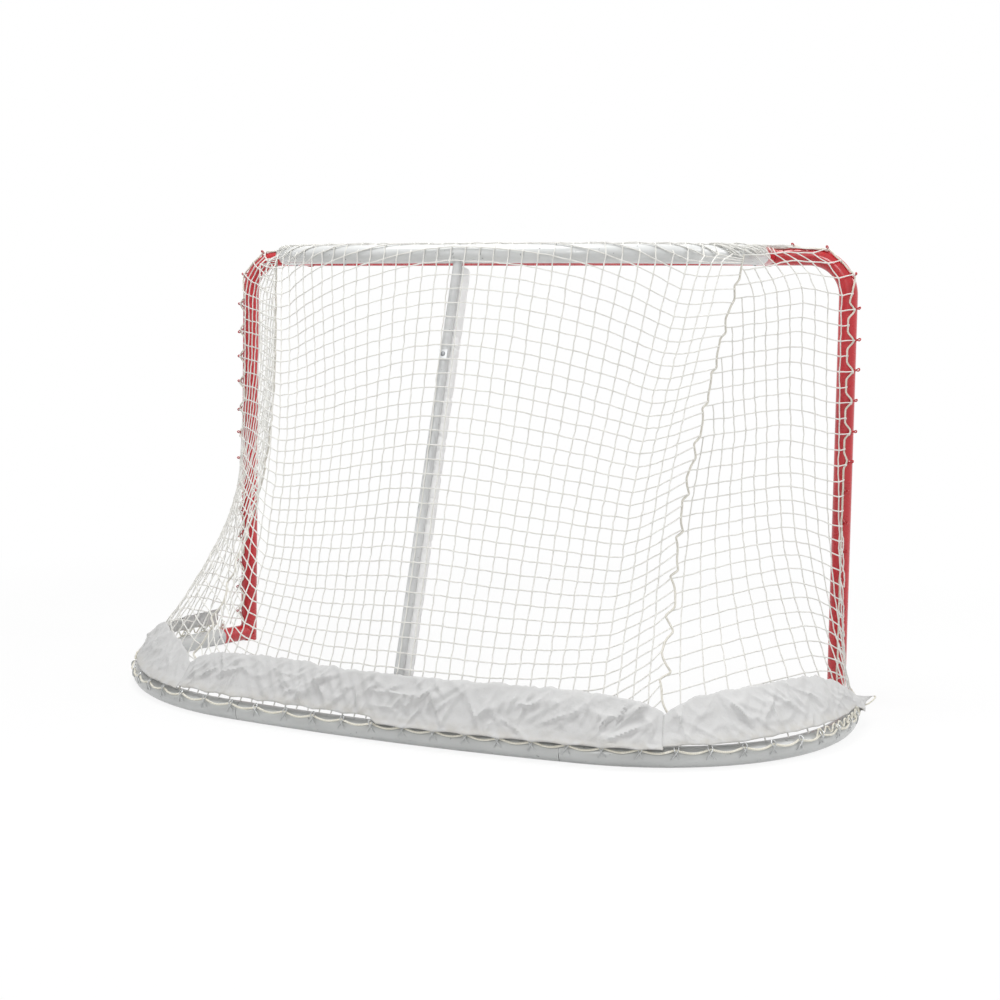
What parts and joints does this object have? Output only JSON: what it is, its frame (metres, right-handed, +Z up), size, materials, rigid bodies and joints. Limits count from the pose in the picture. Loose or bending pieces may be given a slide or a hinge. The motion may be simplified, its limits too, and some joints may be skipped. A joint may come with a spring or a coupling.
{
  "type": "ice hockey goal",
  "caption": "Ice hockey goal: red tube front frame, white shelf, flared base and centre bar, with a laced net and a canvas skirt along the base.",
  "frame": {"origin": "On the floor, at the middle of the goal's footprint", "axes": "+X across the goal, toward the right post as a shooter in front of the mouth sees it, +Y back into the net, away from the mouth, +Z up"},
  "size_m": [2.1, 1.0288, 1.2846],
  "materials": {
    "red_paint": "gloss enamel",
    "white_paint": "semi-gloss enamel",
    "bare_steel": "plain drawn tube",
    "zinc_plate": "zinc plated",
    "lacing_rope": "twisted cord",
    "seam_twine": "thick twine",
    "net_twine": "knotted twine",
    "canvas": "woven canvas",
    "pad_vinyl": "soft coated cloth"
  },
  "bodies": {
    "root": {"left_post": "red_paint", "right_post": "red_paint", "crossbar": "red_paint", "shelf_tube": "white_paint", "left_base_tube": "white_paint", "right_base_tube": "white_paint", "base_rear_tube": "white_paint", "centre_bar": "white_paint", "bar_pad": "pad_vinyl", "bar_washer": "zinc_plate", "bar_screw": "zinc_plate", "left_crossbar_spigot": "bare_steel", "right_crossbar_spigot": "bare_steel", "left_shelf_spigot": "bare_steel", "right_shelf_spigot": "bare_steel", "left_foot_spigot": "bare_steel", "right_foot_spigot": "bare_steel", "left_base_spigot": "bare_steel", "right_base_spigot": "bare_steel", "left_crossbar_screw": "zinc_plate", "right_crossbar_screw": "zinc_plate", "left_shelf_screw": "zinc_plate", "right_shelf_screw": "zinc_plate", "left_foot_screw": "zinc_plate", "right_foot_screw": "zinc_plate", "left_base_screw": "zinc_plate", "right_base_screw": "zinc_plate", "front_lacing": "lacing_rope", "base_lacing": "lacing_rope", "left_seam_cord": "seam_twine", "right_seam_cord": "seam_twine", "back_net": "net_twine", "top_net": "net_twine", "left_side_net": "net_twine", "right_side_net": "net_twine", "rear_skirt": "canvas", "left_skirt": "canvas", "right_skirt": "canvas"}
  },
  "joints": []
}
